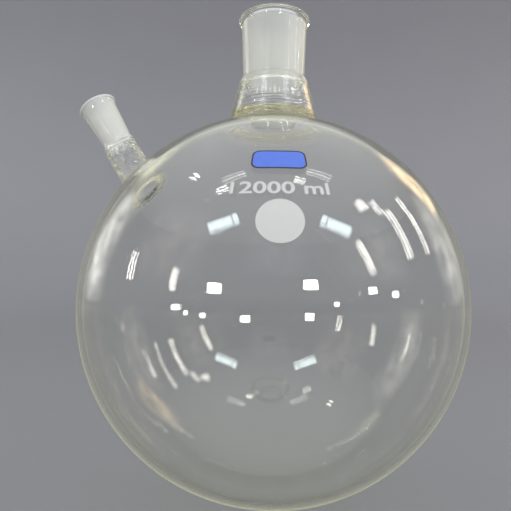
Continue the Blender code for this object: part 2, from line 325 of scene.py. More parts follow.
@dataclass(frozen=True)
class Glass:
    """Flame-worked borosilicate glass: clear, a little uneven, and yellow-green where it is thick."""

    name: str
    tint: Colour = (0.985, 0.99, 0.98)
    edge_tint: Colour = (0.89, 0.885, 0.76)
    edge_power: float = 3.0
    glow: Colour = (0.80, 0.79, 0.58)
    glow_share: float = 0.6
    glow_start: float = 0.74
    absorbed: Colour = (0.85, 0.86, 0.48)
    density: float = 11.0
    ior: float = 1.47
    swell: float = 55.0 * MM
    swell_depth: float = 0.07 * MM
    ripple: float = 9.0 * MM
    ripple_depth: float = 0.002 * MM
    rings: float = 1.6 * MM
    rings_depth: float = 0.0
    rings_stretch: float = 12.0
    axis: Triple = (0.0, 0.0, 1.0)
    fade: Optional[Point] = None
    worked_tint: Colour = (0.97, 0.925, 0.66)
    haze: float = 0.012
    smear: float = 22.0 * MM
    shadow_tint: Colour = (0.97, 0.975, 0.965)
    grinding: Optional[Grinding] = None

    def _worked(self, recipe: Recipe) -> Value:
        """How far the flame has reached, from 0 at the first height of the fade to 1 at the second."""
        if self.fade is None:
            return 1.0
        return recipe.rise(recipe.along(self.axis), *self.fade)

    def _height(self, recipe: Recipe) -> Signal:
        """The unevenness of the surface.

        Args:
            recipe: the material.

        Returns:
            The height, in metres.
        """
        where = recipe.place()
        height = recipe.noise(where, self.swell, 1.0) * self.swell_depth
        height = height + recipe.noise(where, self.ripple, 2.0) * self.ripple_depth
        if self.rings_depth > 0.0:
            pull = {0: self.axis, "Scale": recipe.along(self.axis) * (self.rings_stretch - 1.0)}
            stretch = recipe.node("ShaderNodeVectorMath", {"operation": "SCALE"}, pull)
            turned = recipe.node("ShaderNodeVectorMath", {"operation": "ADD"}, {0: where, 1: stretch})
            height = height + recipe.noise(turned, self.rings * self.rings_stretch, 1.0) * self.rings_depth
        return height * self._worked(recipe)

    def make(self) -> bpy.types.Material:
        """The finish as a material."""
        recipe = Recipe(bpy.data.materials.new(self.name))
        facing = recipe.node("ShaderNodeLayerWeight", None, {"Blend": 0.5}, "Facing")
        smears = recipe.noise(recipe.place(), self.smear, 4.0) ** 3.0
        tint = self.tint
        if self.fade is not None:
            tint = recipe.mix(self._worked(recipe), self.tint, self.worked_tint)
        glass = recipe.principled({
            "Base Color": recipe.mix(facing ** self.edge_power, tint, self.edge_tint),
            "Roughness": smears * self.haze,
            "IOR": self.ior,
            "Transmission Weight": 1.0,
            "Normal": recipe.bump(self._height(recipe)),
        })
        share = recipe.rise(facing, self.glow_start, 1.0, self.glow_share)
        glow = recipe.node("ShaderNodeBsdfTranslucent", None, {"Color": (*self.glow, 1.0)})
        glass = recipe.blend(share, glass, glow)
        if self.grinding is not None:
            glass = recipe.blend(recipe.attribute(Skin.GROUND), glass, self.grinding.shade_in(recipe))
        glass = recipe.let_lamps_through(glass, self.shadow_tint)
        open_seam = recipe.node("ShaderNodeBsdfTransparent")
        glass = recipe.blend(recipe.attribute(Skin.SEAM), glass, open_seam)
        body = {"Color": (*self.absorbed, 1.0), "Density": self.density}
        return recipe.finish(glass, recipe.node("ShaderNodeVolumeAbsorption", None, body))


@dataclass(frozen=True)
class Enamel:
    """Screen-printed enamel, fired on: matt, with a faint mottle and pinholes."""

    name: str
    colour: Colour
    mottle: Colour
    roughness: float = 0.55
    clouds: float = 4.0 * MM
    grain: float = 0.25 * MM
    grain_depth: float = 0.008 * MM
    cloud_share: float = 0.7
    spread: float = 0.2

    def make(self) -> bpy.types.Material:
        """The finish as a material."""
        recipe = Recipe(bpy.data.materials.new(self.name))
        where = recipe.place()
        mottle = recipe.noise(where, self.clouds, 4.0)
        grain = recipe.noise(where, self.grain, 2.0)
        share = mottle * self.cloud_share + grain * (1.0 - self.cloud_share)
        shader = recipe.principled({
            "Base Color": recipe.mix(share, self.colour, self.mottle),
            "Roughness": grain * self.spread + (self.roughness - self.spread / 2.0),
            "Normal": recipe.bump(grain * self.grain_depth),
        })
        return recipe.finish(shader)


@dataclass(frozen=True)
class StudioPaper:
    """The pale seamless paper that the flask stands on, toned so that floor and wall look alike."""

    name: str = "studio_paper"
    floor: Colour = (0.225, 0.226, 0.24)
    wall: Colour = (0.50, 0.50, 0.53)
    shade: Colour = (0.2, 0.2, 0.215)
    shade_share: float = 0.1
    roughness: float = 0.9
    cloud: float = 0.6
    near: float = 0.8
    far: float = 6.0

    def make(self) -> bpy.types.Material:
        """The finish as a material."""
        recipe = Recipe(bpy.data.materials.new(self.name))
        where = recipe.place()
        distance = recipe.node("ShaderNodeVectorMath", {"operation": "LENGTH"}, {0: where}, "Value")
        clouds = recipe.noise(where, self.cloud, 3.0)
        tone = recipe.mix(recipe.rise(distance, self.near, self.far), self.floor, self.wall)
        colour = recipe.mix(clouds * self.shade_share, tone, self.shade)
        return recipe.finish(recipe.principled({"Base Color": colour, "Roughness": self.roughness}))


@dataclass(frozen=True)
class PanelLight:
    """The glow of a soft panel, which dies away at its edges and is a little cloudy."""

    name: str
    colour: Colour
    radiance: float
    cloud: float = 0.35

    def make(self) -> bpy.types.Material:
        """The finish as a material."""
        recipe = Recipe(bpy.data.materials.new(self.name))
        spot = recipe.node("ShaderNodeUVMap", {"uv_map": "panel"})
        share: Value = 1.0
        for axis in ("X", "Y"):
            off = recipe.node("ShaderNodeSeparateXYZ", None, {0: spot}, axis) * 2.0 - 1.0
            share = share * (1.0 - off * off)
        clouds = recipe.noise(recipe.place(), self.cloud, 2.0)
        strength = share * clouds * clouds * (CLOUD_GAIN * self.radiance)
        glow = {"Color": (*self.colour, 1.0), "Strength": strength}
        lit = recipe.node("ShaderNodeEmission", None, glow)
        clear = recipe.node("ShaderNodeBsdfTransparent")
        return recipe.finish(recipe.node("ShaderNodeAddShader", None, {0: lit, 1: clear}))


# ---------------------------------------------------------------------------------------------------
# Mesh making


@dataclass(frozen=True)
class Stop:
    """A point of a turned wall's outline, and the skin of the stretch after it."""

    radius: float
    height: float
    skin: Skin = Skin.CLEAR


def curve(start: Point, control: Point, end: Point, steps: int) -> list[Stop]:
    """Stops along a quadratic curve, without its end.

    Args:
        start: where it leaves, as (radius, height).
        control: the point that it leaves and arrives towards.
        end: where it arrives.
        steps: how many stops.

    Returns:
        The stops.
    """
    stops = []
    for step in range(steps):
        t = step / steps
        a, b, c = (1.0 - t) ** 2, 2.0 * t * (1.0 - t), t * t
        stops.append(Stop(*(a * p + b * q + c * r for p, q, r in zip(start, control, end))))
    return stops


def arc(
    centre: Point,
    radius: float,
    start: float,
    end: float,
    steps: int,
    skin: Skin = Skin.CLEAR,
    rise: Optional[float] = None,
) -> list[Stop]:
    """Stops along a round or an elliptical arc, with its end.

    Args:
        centre: the arc's centre, as (radius, height).
        radius: the arc's radius.
        start: the angle where it starts, in degrees from outwards to upwards.
        end: the angle where it ends.
        steps: how many steps.
        skin: the skin along it.
        rise: its upright radius, where that is another.

    Returns:
        The stops.
    """
    angles = [math.radians(start + (end - start) * i / steps) for i in range(steps + 1)]
    tall = radius if rise is None else rise
    return [Stop(centre[0] + radius * math.cos(a), centre[1] + tall * math.sin(a), skin) for a in angles]


def seamed(stops: Sequence[Stop]) -> list[Stop]:
    """The same stops, with a seam after the last one."""
    return [*stops[:-1], replace(stops[-1], skin=Skin.SEAM)]


def mark(made: bmesh.types.BMesh, face: bmesh.types.BMFace, skin: Skin) -> None:
    """Marks a face with its skin."""
    for kind in (Skin.GROUND, Skin.SEAM):
        face[made.faces.layers.float[kind.value]] = 1.0 if skin is kind else 0.0


def turned_wall(stops: Sequence[Stop], steps: int, closed: bool = True) -> bmesh.types.BMesh:
    """Spins an outline about the Z axis and gives every stretch its skin.

    Args:
        stops: the outline.
        steps: how many steps the turn has.
        closed: False for an outline that runs from pole to pole.

    Returns:
        The wall, with each point's place in the outline on its "station" layer.
    """
    wall = bmesh.new()
    for kind in (Skin.GROUND, Skin.SEAM):
        wall.faces.layers.float.new(kind.value)
    station = wall.verts.layers.int.new("station")
    outline = []
    for index, stop in enumerate(stops):
        vert = wall.verts.new((stop.radius, 0.0, stop.height))
        vert[station] = index
        outline.append(vert)
    edges = [wall.edges.new(pair) for pair in zip(outline, outline[1:])]
    if closed:
        edges.append(wall.edges.new((outline[-1], outline[0])))
    bmesh.ops.spin(
        wall,
        geom=outline + edges,
        cent=(0.0, 0.0, 0.0),
        axis=(0.0, 0.0, 1.0),
        angle=2.0 * math.pi,
        steps=steps,
        use_merge=True,
    )
    bmesh.ops.remove_doubles(wall, verts=wall.verts[:], dist=MERGE)
    for face in wall.faces:
        found = sorted({vert[station] for vert in face.verts})
        wraps = closed and (found[0], found[-1]) == (0, len(stops) - 1)
        mark(wall, face, stops[found[-1] if wraps else found[0]].skin)
    bmesh.ops.recalc_face_normals(wall, faces=wall.faces[:])
    return wall


def piece_from(
    name: str, made: bmesh.types.BMesh, finish: bpy.types.Material, place: Matrix
) -> bpy.types.Object:
    """Turns a finished bmesh into a piece in its place.

    Args:
        name: the piece's name.
        made: the mesh, which is freed.
        finish: its material.
        place: where it goes.

    Returns:
        The piece, at the origin with its place in its mesh.
    """
    mesh = bpy.data.meshes.new(name)
    bmesh.ops.transform(made, matrix=place, verts=made.verts[:])
    for layer in list(made.verts.layers.int.values()):
        made.verts.layers.int.remove(layer)
    made.to_mesh(mesh)
    made.free()
    mesh.shade_smooth()
    mesh.set_sharp_from_angle(angle=math.radians(CREASE))
    mesh.materials.append(finish)
    piece = bpy.data.objects.new(name, mesh)
    bpy.context.scene.collection.objects.link(piece)
    return piece


def settle(piece: bpy.types.Object, slot: str, *nodes: str) -> bpy.types.Object:
    """Makes a piece ride on the flask in place of its frame nodes.

    Args:
        piece: the piece.
        slot: the material slot of the record that it takes its finish from.
        nodes: the frame nodes that it stands for.

    Returns:
        The piece.
    """
    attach(piece, "root")
    if nodes:
        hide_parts(*nodes)
    LOG.info("%s: %d points, %d faces", piece.name, len(piece.data.vertices), len(piece.data.polygons))
    return piece


def lay_out(place: Matrix, *rows: tuple[str, bmesh.types.BMesh, bpy.types.Material, str, str]) -> None:
    """Makes the pieces that share a frame.

    Args:
        place: the frame.
        rows: each piece's name, mesh, finish and material slot, and the frame node that it stands for.
    """
    for name, made, finish, slot, node in rows:
        settle(piece_from(name, made, finish, place), slot, node)


# ---------------------------------------------------------------------------------------------------
# Where things are


@dataclass(frozen=True)
class Layout:
    """The flask's centres and axes, taken from the frame."""

    centre: Vector
    radius: float
    side_foot: Vector
    side_axis: Vector

    @classmethod
    def from_frame(cls, frame: dict) -> "Layout":
        """Reads the bulb's centre and the side neck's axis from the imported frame.


        Returns:
            The layout.
        """
        low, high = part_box("flask_bulb")
        rim = next(m for m in frame["record"]["mounts"] if m["name"] == "side_rim_face")
        axis = Vector(rim["axis"]).normalized()
        side_low, side_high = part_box("side_joint_socket")
        socket_middle = (side_low + side_high) / 2.0
        radius = round((high.x - low.x) / 2.0 / MM) * MM
        centre = Vector(((low.x + high.x) / 2.0, (low.y + high.y) / 2.0, low.z + radius))
        offset = socket_middle - centre
        along = offset.dot(axis)
        across = (offset - axis * along).length
        reach = along - math.sqrt(radius * radius - across * across)
        return cls(centre, radius, socket_middle - axis * reach, axis)

    def bulb(self) -> Matrix:
        """The frame of the bulb and the centre neck: the bulb's centre, Z up."""
        return Matrix.Translation(self.centre)

    def side(self) -> Matrix:
        """The frame of the side neck: its foot on the bulb's surface, Z along its axis."""
        turn = Vector((0.0, 0.0, 1.0)).rotation_difference(self.side_axis)
        return Matrix.Translation(self.side_foot) @ turn.to_matrix().to_4x4()

    def side_normal(self) -> Vector:
        """The bulb's outward direction at the side neck's foot."""
        return (self.side_foot - self.centre).normalized()


@dataclass(frozen=True)
class Taper:
    """A straight outline whose radius changes evenly with height."""

    radius: float
    height: float
    slope: float

    def at(self, height: float) -> float:
        """The radius at a height."""
        return self.radius + self.slope * (self.height - height)

    def stops(self, low: float, high: float, count: int, skin: Skin = Skin.CLEAR) -> list[Stop]:
        """Stops in even steps from one height to another, with both ends."""
        heights = [low + (high - low) * i / count for i in range(count + 1)]
        return [Stop(self.at(height), height, skin) for height in heights]

    def corner(self, ball: float, angle: float) -> Point:
        """Where the outline meets the line that touches a ball at an angle from the axis.

        Args:
            ball: the ball's radius.
            angle: the angle of the touching point from the axis.

        Returns:
            The meeting point, as (radius, height).
        """
        sine, cosine = math.sin(angle), math.cos(angle)
        gap = ball * sine - self.at(ball * cosine)
        run = gap / (cosine - self.slope * sine)
        return ball * sine - run * cosine, ball * cosine + run * sine


@dataclass(frozen=True)
class FlaredRim:
    """The rounded rim that a socket flares into."""

    radius: float
    height: float
    rounding: float
    foot: float
    blend: Point
    flare_steps: int
    round_steps: int
    skin: Skin = Skin.CLEAR

    def stops(self, line: Taper) -> list[Stop]:
        """The rim's outline from its foot to its top.

        Args:
            line: the socket's outside.

        Returns:
            The stops.
        """
        middle = (self.radius - self.rounding, self.height - self.rounding)
        edge = arc(middle, self.rounding, -50.0, 90.0, self.round_steps, self.skin)
        neck = (line.at(self.foot), self.foot)
        end = (edge[0].radius, edge[0].height)
        control = (neck[0] + self.blend[0], end[1] - self.blend[1])
        return curve(neck, control, end, self.flare_steps) + edge


# ---------------------------------------------------------------------------------------------------
# The flask's pieces


@dataclass
class BlownBulb:
    """The blown ball, open where the two necks are fused on."""

    layout: Layout
    wall: float = 4.0 * MM
    neck_radius: float = 42.6 * MM
    side_radius: float = 21.0 * MM
    steps: int = 192
    meridian_steps: int = 150

    @property
    def inner(self) -> float:
        """The radius of the inside."""
        return self.layout.radius - self.wall

    @property
    def neck_angle(self) -> float:
        """The angle from the axis to the neck's seam."""
        return math.asin(self.neck_radius / self.layout.radius)

    @property
    def side_angle(self) -> float:
        """The angle from the side neck's foot to its seam."""
        return math.asin(self.side_radius / self.layout.radius)

    def build(self) -> bmesh.types.BMesh:
        """Both walls of the ball, with the seams closed round the neck and the side hole."""
        outer = self.layout.radius
        start = 90.0 - math.degrees(self.neck_angle + SEAM_GAP / outer)
        inside = arc((0.0, 0.0), self.inner, -90.0, start, self.meridian_steps)
        outside = arc((0.0, 0.0), outer, start, -90.0, self.meridian_steps)
        inside[-1] = Stop(inside[-1].radius, inside[-1].height, Skin.SEAM)
        inside[0] = Stop(0.0, -self.inner)
        outside[-1] = Stop(0.0, -outer)
        ball = turned_wall(inside + outside, self.steps, closed=False)
        rims = self._open_side(ball, self.inner) + self._open_side(ball, outer)
        closing = bmesh.ops.bridge_loops(ball, edges=rims)
        for face in closing["faces"]:
            mark(ball, face, Skin.SEAM)
        bmesh.ops.recalc_face_normals(ball, faces=ball.faces[:])
        return ball

    def _open_side(self, ball: bmesh.types.BMesh, shell: float) -> list[bmesh.types.BMEdge]:
        """Cuts the side neck's round hole in one wall.

        Args:
            ball: the ball.
            shell: the wall's radius.

        Returns:
            The edges round the hole.
        """
        middle = (self.inner + self.layout.radius) / 2.0
        inner_side = shell < middle
        towards = self.layout.side_normal()
        angle = self.side_angle + SEAM_GAP / shell
        wall = [f for f in ball.faces if all((v.co.length < middle) == inner_side for v in f.verts)]
        near = [f for f in wall if f.calc_center_median().normalized().dot(towards) > math.cos(2.0 * angle)]
        geometry = dict.fromkeys(near)
        for face in near:
            geometry.update(dict.fromkeys([*face.verts, *face.edges]))
        plane = towards * shell * math.cos(angle)
        cut = bmesh.ops.bisect_plane(
            ball, geom=list(geometry), dist=MERGE, plane_co=plane, plane_no=towards, clear_outer=True
        )
        rim = [e for e in cut["geom_cut"] if isinstance(e, bmesh.types.BMEdge)]
        for vert in {v for e in rim for v in e.verts}:
            vert.co = vert.co.normalized() * shell
        return rim

    def dress(self, made: bmesh.types.BMesh, finish: bpy.types.Material) -> bpy.types.Object:
        """Places the bulb and gives it a true ball's normals.

        Args:
            made: the built mesh.
            finish: the clear glass.

        Returns:
            The piece.
        """
        piece = piece_from("blown_bulb", made, finish, self.layout.bulb())
        middle = (self.inner + self.layout.radius) / 2.0
        normals = []
        for vert in piece.data.vertices:
            out = vert.co - self.layout.centre
            normals.append(out.normalized() * (1.0 if out.length > middle else -1.0))
        piece.data.normals_split_custom_set_from_vertices(normals)
        return settle(piece, "clear_glass", "flask_bulb")


@dataclass
class CentreNeck:
    """The collar on the bulb, its two fused rings and the ground 45/50 socket."""

    layout: Layout
    bulb: BlownBulb
    steps: int = 144
    collar: Taper = Taper(28.1 * MM, 176.3 * MM, 0.25)
    collar_wall: float = 4.2 * MM
    seal_top: float = 151.9 * MM
    seal_ripple: float = 0.28 * MM
    shoulder_seam: float = 170.0 * MM
    shoulder_foot: float = 3.0 * MM
    shoulder_height: float = 5.0 * MM
    shoulder_blend: float = 0.1 * MM
    socket: Taper = Taper(24.5 * MM, 181.2 * MM, -0.0388)
    socket_seam: float = 183.0 * MM
    bore_bulge: float = 4.5 * MM
    bore_step: float = 0.4 * MM
    bore_blend: Point = (0.12 * MM, 0.25 * MM)
    ground: Taper = Taper(22.5 * MM, 227.0 * MM, -0.05)
    ground_length: float = 50.0 * MM
    rim: FlaredRim = FlaredRim(28.7 * MM, 231.0 * MM, 1.8 * MM, 225.0 * MM, (0.3 * MM, 1.6 * MM), 8, 12)
    lip_round: float = 1.2 * MM
    lip_step: float = 0.25 * MM
    lip_height: float = 0.2 * MM

    @property
    def bore(self) -> Taper:
        """The collar's inside."""
        return Taper(self.collar.radius - self.collar_wall, self.collar.height, self.collar.slope)

    @property
    def ground_foot(self) -> Point:
        """The lower end of the ground taper, as (radius, height)."""
        height = self.ground.height - self.ground_length
        return self.ground.at(height), height

    def seal(self) -> bmesh.types.BMesh:
        """The fused fillet between the bulb and the collar, rippled by the flame."""
        angle = self.bulb.neck_angle
        paths = []
        for ball, line in ((self.layout.radius, self.collar), (self.bulb.inner, self.bore)):
            foot = (ball * math.sin(angle), ball * math.cos(angle))
            top = (line.at(self.seal_top), self.seal_top)
            path = curve(foot, line.corner(ball, angle), top, 16)
            paths.append(path + [Stop(*top)])
        outer, inner = paths
        ring = turned_wall(seamed(outer) + seamed(inner[::-1]), self.steps)
        self._ripple(ring, self.layout.radius * math.cos(angle))
        return ring

    def _ripple(self, ring: bmesh.types.BMesh, foot: float) -> None:
        """Makes the fillet's outside uneven round the neck, dying away at both seams.

        Args:
            ring: the fillet.
            foot: the height of its lower edge.
        """
        for vert in ring.verts:
            share = (vert.co.z - foot) / (self.seal_top - foot)
            if not 0.0 < share < 1.0:
                continue
            turn = math.atan2(vert.co.y, vert.co.x)
            waves = math.sin(9.0 * turn + 1.0) + 0.8 * math.sin(17.0 * turn + 2.0 + 3.0 * share)
            waves += 0.6 * math.sin(31.0 * turn + 5.0 * share) + 0.4 * math.sin(47.0 * turn + 0.5)
            push = self.seal_ripple * 0.5 * waves * math.sin(math.pi * share) ** 2
            vert.co += Vector((vert.co.x, vert.co.y, 0.0)).normalized() * push

    def flared_collar(self) -> bmesh.types.BMesh:
        """The clear flared collar."""
        low, high = self.seal_top + SEAM_GAP, self.shoulder_seam - SEAM_GAP
        outer = self.collar.stops(low, high, 6)
        inner = self.bore.stops(high, low, 6)
        return turned_wall(seamed(outer) + seamed(inner), self.steps)

    def shoulder(self) -> bmesh.types.BMesh:
        """The rounded shoulder that closes the collar's top onto the socket."""
        low = self.shoulder_seam
        reach = self.collar.radius - self.socket.radius
        outer = self.collar.stops(low, low + self.shoulder_foot, 1)
        outer += arc((self.socket.radius, self.collar.height), reach, 0.0, 72.0, 9, rise=self.shoulder_height)
        last = (outer[-1].radius, outer[-1].height)
        top = (self.socket.at(self.socket_seam), self.socket_seam)
        outer += curve(last, (top[0] + self.shoulder_blend, last[1] + self.shoulder_blend), top, 5)[1:]
        outer.append(Stop(*top))
        foot_radius, foot_height = self.ground_foot
        middle = (foot_radius + self.bore_step, foot_height - self.shoulder_height)
        inner = [Stop(foot_radius, foot_height)]
        inner.append(Stop(foot_radius + self.bore_blend[0], foot_height - self.bore_blend[1]))
        inner += arc(middle, self.bore.at(middle[1]) - middle[0], 88.0, 0.0, 11, rise=self.bore_bulge)
        inner.append(Stop(self.bore.at(low), low))
        return turned_wall(seamed(outer) + seamed(inner), self.steps)

    def joint(self) -> bmesh.types.BMesh:
        """The socket, clear outside and at its lip, ground along its taper."""
        foot_radius, foot_height = self.ground_foot
        outer = self.socket.stops(self.socket_seam + SEAM_GAP, self.rim.foot, 8)[:-1]
        outer += self.rim.stops(self.socket)
        bore = self.ground.radius + self.lip_step
        inner = arc((bore + self.lip_round, self.rim.height - self.lip_round), self.lip_round, 90.0, 180.0, 8)
        inner.append(Stop(bore, self.ground.height + self.lip_height))
        inner += self.ground.stops(self.ground.height, foot_height, 12, Skin.GROUND)[:-1]
        inner.append(Stop(foot_radius, foot_height + SEAM_GAP, Skin.SEAM))
        return turned_wall(outer + inner, self.steps)

    def dress(self, clear: bpy.types.Material, fused: bpy.types.Material, ground: bpy.types.Material) -> None:
        """Builds and places the neck's four pieces.

        Args:
            clear: the clear glass.
            fused: the fused glass.
            ground: the ground glass.
        """
        lay_out(
            self.layout.bulb(),
            ("collar_fillet", self.seal(), fused, "fused_seal_glass", "centre_neck_seal"),
            ("flared_collar", self.flared_collar(), clear, "clear_glass", "centre_neck_collar"),
            ("collar_shoulder", self.shoulder(), clear, "fused_seal_glass", "centre_shoulder_seal"),
            ("centre_socket", self.joint(), ground, "ground_glass", "centre_joint_socket"),
        )


@dataclass
class SideNeck:
    """The side tube, its fused bead on the bulb and the ground 24/40 socket."""

    layout: Layout
    bulb: BlownBulb
    steps: int = 96
    radius: float = 14.0 * MM
    wall: float = 2.5 * MM
    bead: float = 4.2 * MM
    bead_top: float = 11.0 * MM
    bead_inside: float = 0.6
    bead_ripple: float = 0.3 * MM
    bead_sheets: int = 4
    bead_bends: int = 10
    tube_top: float = 38.0 * MM
    shoulder_bulge: float = 3.4 * MM
    socket: Taper = Taper(12.4 * MM, 45.0 * MM, -0.0667)
    ground: Taper = Taper(12.0 * MM, 81.5 * MM, -0.05)
    ground_foot: float = 41.5 * MM
    rim: FlaredRim = FlaredRim(
        16.3 * MM, 83.0 * MM, 1.9 * MM, 75.0 * MM, (0.2 * MM, 1.0 * MM), 6, 10, Skin.GROUND
    )
    lip_round: float = 0.7 * MM
    lip_step: float = 0.15 * MM
    bore_blend: Point = (0.3 * MM, 1.0 * MM)

    def bead_wall(self) -> bmesh.types.BMesh:
        """The fused foot, which runs from a round seam on the bulb up to the tilted tube."""
        count = self.bead_sheets + self.bead_bends + 2
        outer = [Stop(2.0 + i, 0.0) for i in range(count)]
        inner = [Stop(2.0 + i, -1.0) for i in reversed(range(count))]
        bead = turned_wall(seamed(outer) + seamed(inner), self.steps)
        side = self.layout.side()
        for vert in bead.verts:
            turn = math.atan2(vert.co.y, vert.co.x)
            index = round(math.hypot(vert.co.x, vert.co.y) - 2.0)
            inside = vert.co.z < -0.5
            vert.co = side @ self._bead_point(turn, index, inside) - self.layout.centre
        bmesh.ops.recalc_face_normals(bead, faces=bead.faces[:])
        if bead.calc_volume(signed=True) < 0.0:
            bmesh.ops.reverse_faces(bead, faces=bead.faces[:])
        return bead

    def _bead_point(self, turn: float, index: int, inside: bool) -> Vector:
        """A point of the bead, in the side neck's frame.

        Args:
            turn: the angle round the tube.
            index: how far along the way from the bulb's seam to the tube.
            inside: True for the inner wall.

        Returns:
            The point.
        """
        shell = self.bulb.inner if inside else self.layout.radius
        radius = self.radius - self.wall if inside else self.radius
        bead = self.bead * (self.bead_inside if inside else 1.0)
        to_side = self.layout.side().inverted()
        centre = to_side @ self.layout.centre
        foot_normal = -centre.normalized()
        spoke = Vector((math.cos(turn), math.sin(turn), 0.0))
        offset = spoke * radius - centre
        lift = math.sqrt(shell * shell - offset.x ** 2 - offset.y ** 2)
        corner = Vector((spoke.x * radius, spoke.y * radius, centre.z + lift))
        flat = (spoke - foot_normal * spoke.dot(foot_normal)).normalized()
        angle = self.bulb.side_angle
        seam = centre + (foot_normal * math.cos(angle) + flat * math.sin(angle)) * shell
        foot = centre + (corner + flat * bead - centre).normalized() * shell
        if index < self.bead_sheets:
            share = index / self.bead_sheets
            return centre + (seam.lerp(foot, share) - centre).normalized() * shell
        if index <= self.bead_sheets + self.bead_bends:
            t = (index - self.bead_sheets) / self.bead_bends
            top = corner + Vector((0.0, 0.0, bead))
            point = foot * (1.0 - t) ** 2 + corner * 2.0 * t * (1.0 - t) + top * t * t
            if inside:
                return point
            waves = math.sin(5.0 * turn + 1.0) + 0.8 * math.sin(11.0 * turn + 4.0 * t)
            waves += 0.5 * math.sin(19.0 * turn)
            return point + spoke * self.bead_ripple * 0.5 * waves * math.sin(math.pi * t) ** 2
        return Vector((spoke.x * radius, spoke.y * radius, self.bead_top))

    def tube(self) -> bmesh.types.BMesh:
        """The plain clear tube."""
        low, high = self.bead_top + SEAM_GAP, self.tube_top - SEAM_GAP
        outer = Taper(self.radius, low, 0.0).stops(low, high, 6)
        inner = Taper(self.radius - self.wall, low, 0.0).stops(high, low, 6)
        return turned_wall(seamed(outer) + seamed(inner), self.steps)

    def joint(self) -> bmesh.types.BMesh:
        """The socket with its shoulder and flared rim, ground inside and dull at the rim."""
        low = self.tube_top
        top = (self.socket.radius, self.socket.height)
        outer = curve((self.radius, low), (self.radius, low + self.shoulder_bulge), top, 10)
        outer += self.socket.stops(self.socket.height, self.rim.foot, 8)[:-1] + self.rim.stops(self.socket)
        lip = (self.ground.radius + self.lip_step + self.lip_round, self.rim.height - self.lip_round)
        inner = arc(lip, self.lip_round, 90.0, 180.0, 6, Skin.GROUND)
        inner += self.ground.stops(self.ground.height, self.ground_foot, 10, Skin.GROUND)[:-1]
        foot = (self.ground.at(self.ground_foot), self.ground_foot)
        end = (self.radius - self.wall, low)
        inner += curve(foot, (foot[0] + self.bore_blend[0], low + self.bore_blend[1]), end, 6)
        inner.append(Stop(*end))
        return turned_wall(outer + seamed(inner), self.steps)

    def dress(self, clear: bpy.types.Material, fused: bpy.types.Material, ground: bpy.types.Material) -> None:
        """Builds and places the side neck's three pieces.

        Args:
            clear: the clear glass.
            fused: the fused glass.
            ground: the ground glass.
        """
        lay_out(
            self.layout.bulb(),
            ("side_bead", self.bead_wall(), fused, "fused_seal_glass", "side_neck_seal"),
        )
        lay_out(
            self.layout.side(),
            ("side_tube", self.tube(), clear, "clear_glass", "side_neck_tube"),
            ("side_socket", self.joint(), ground, "ground_glass", "side_joint_socket"),
        )


# ---------------------------------------------------------------------------------------------------
# Marks


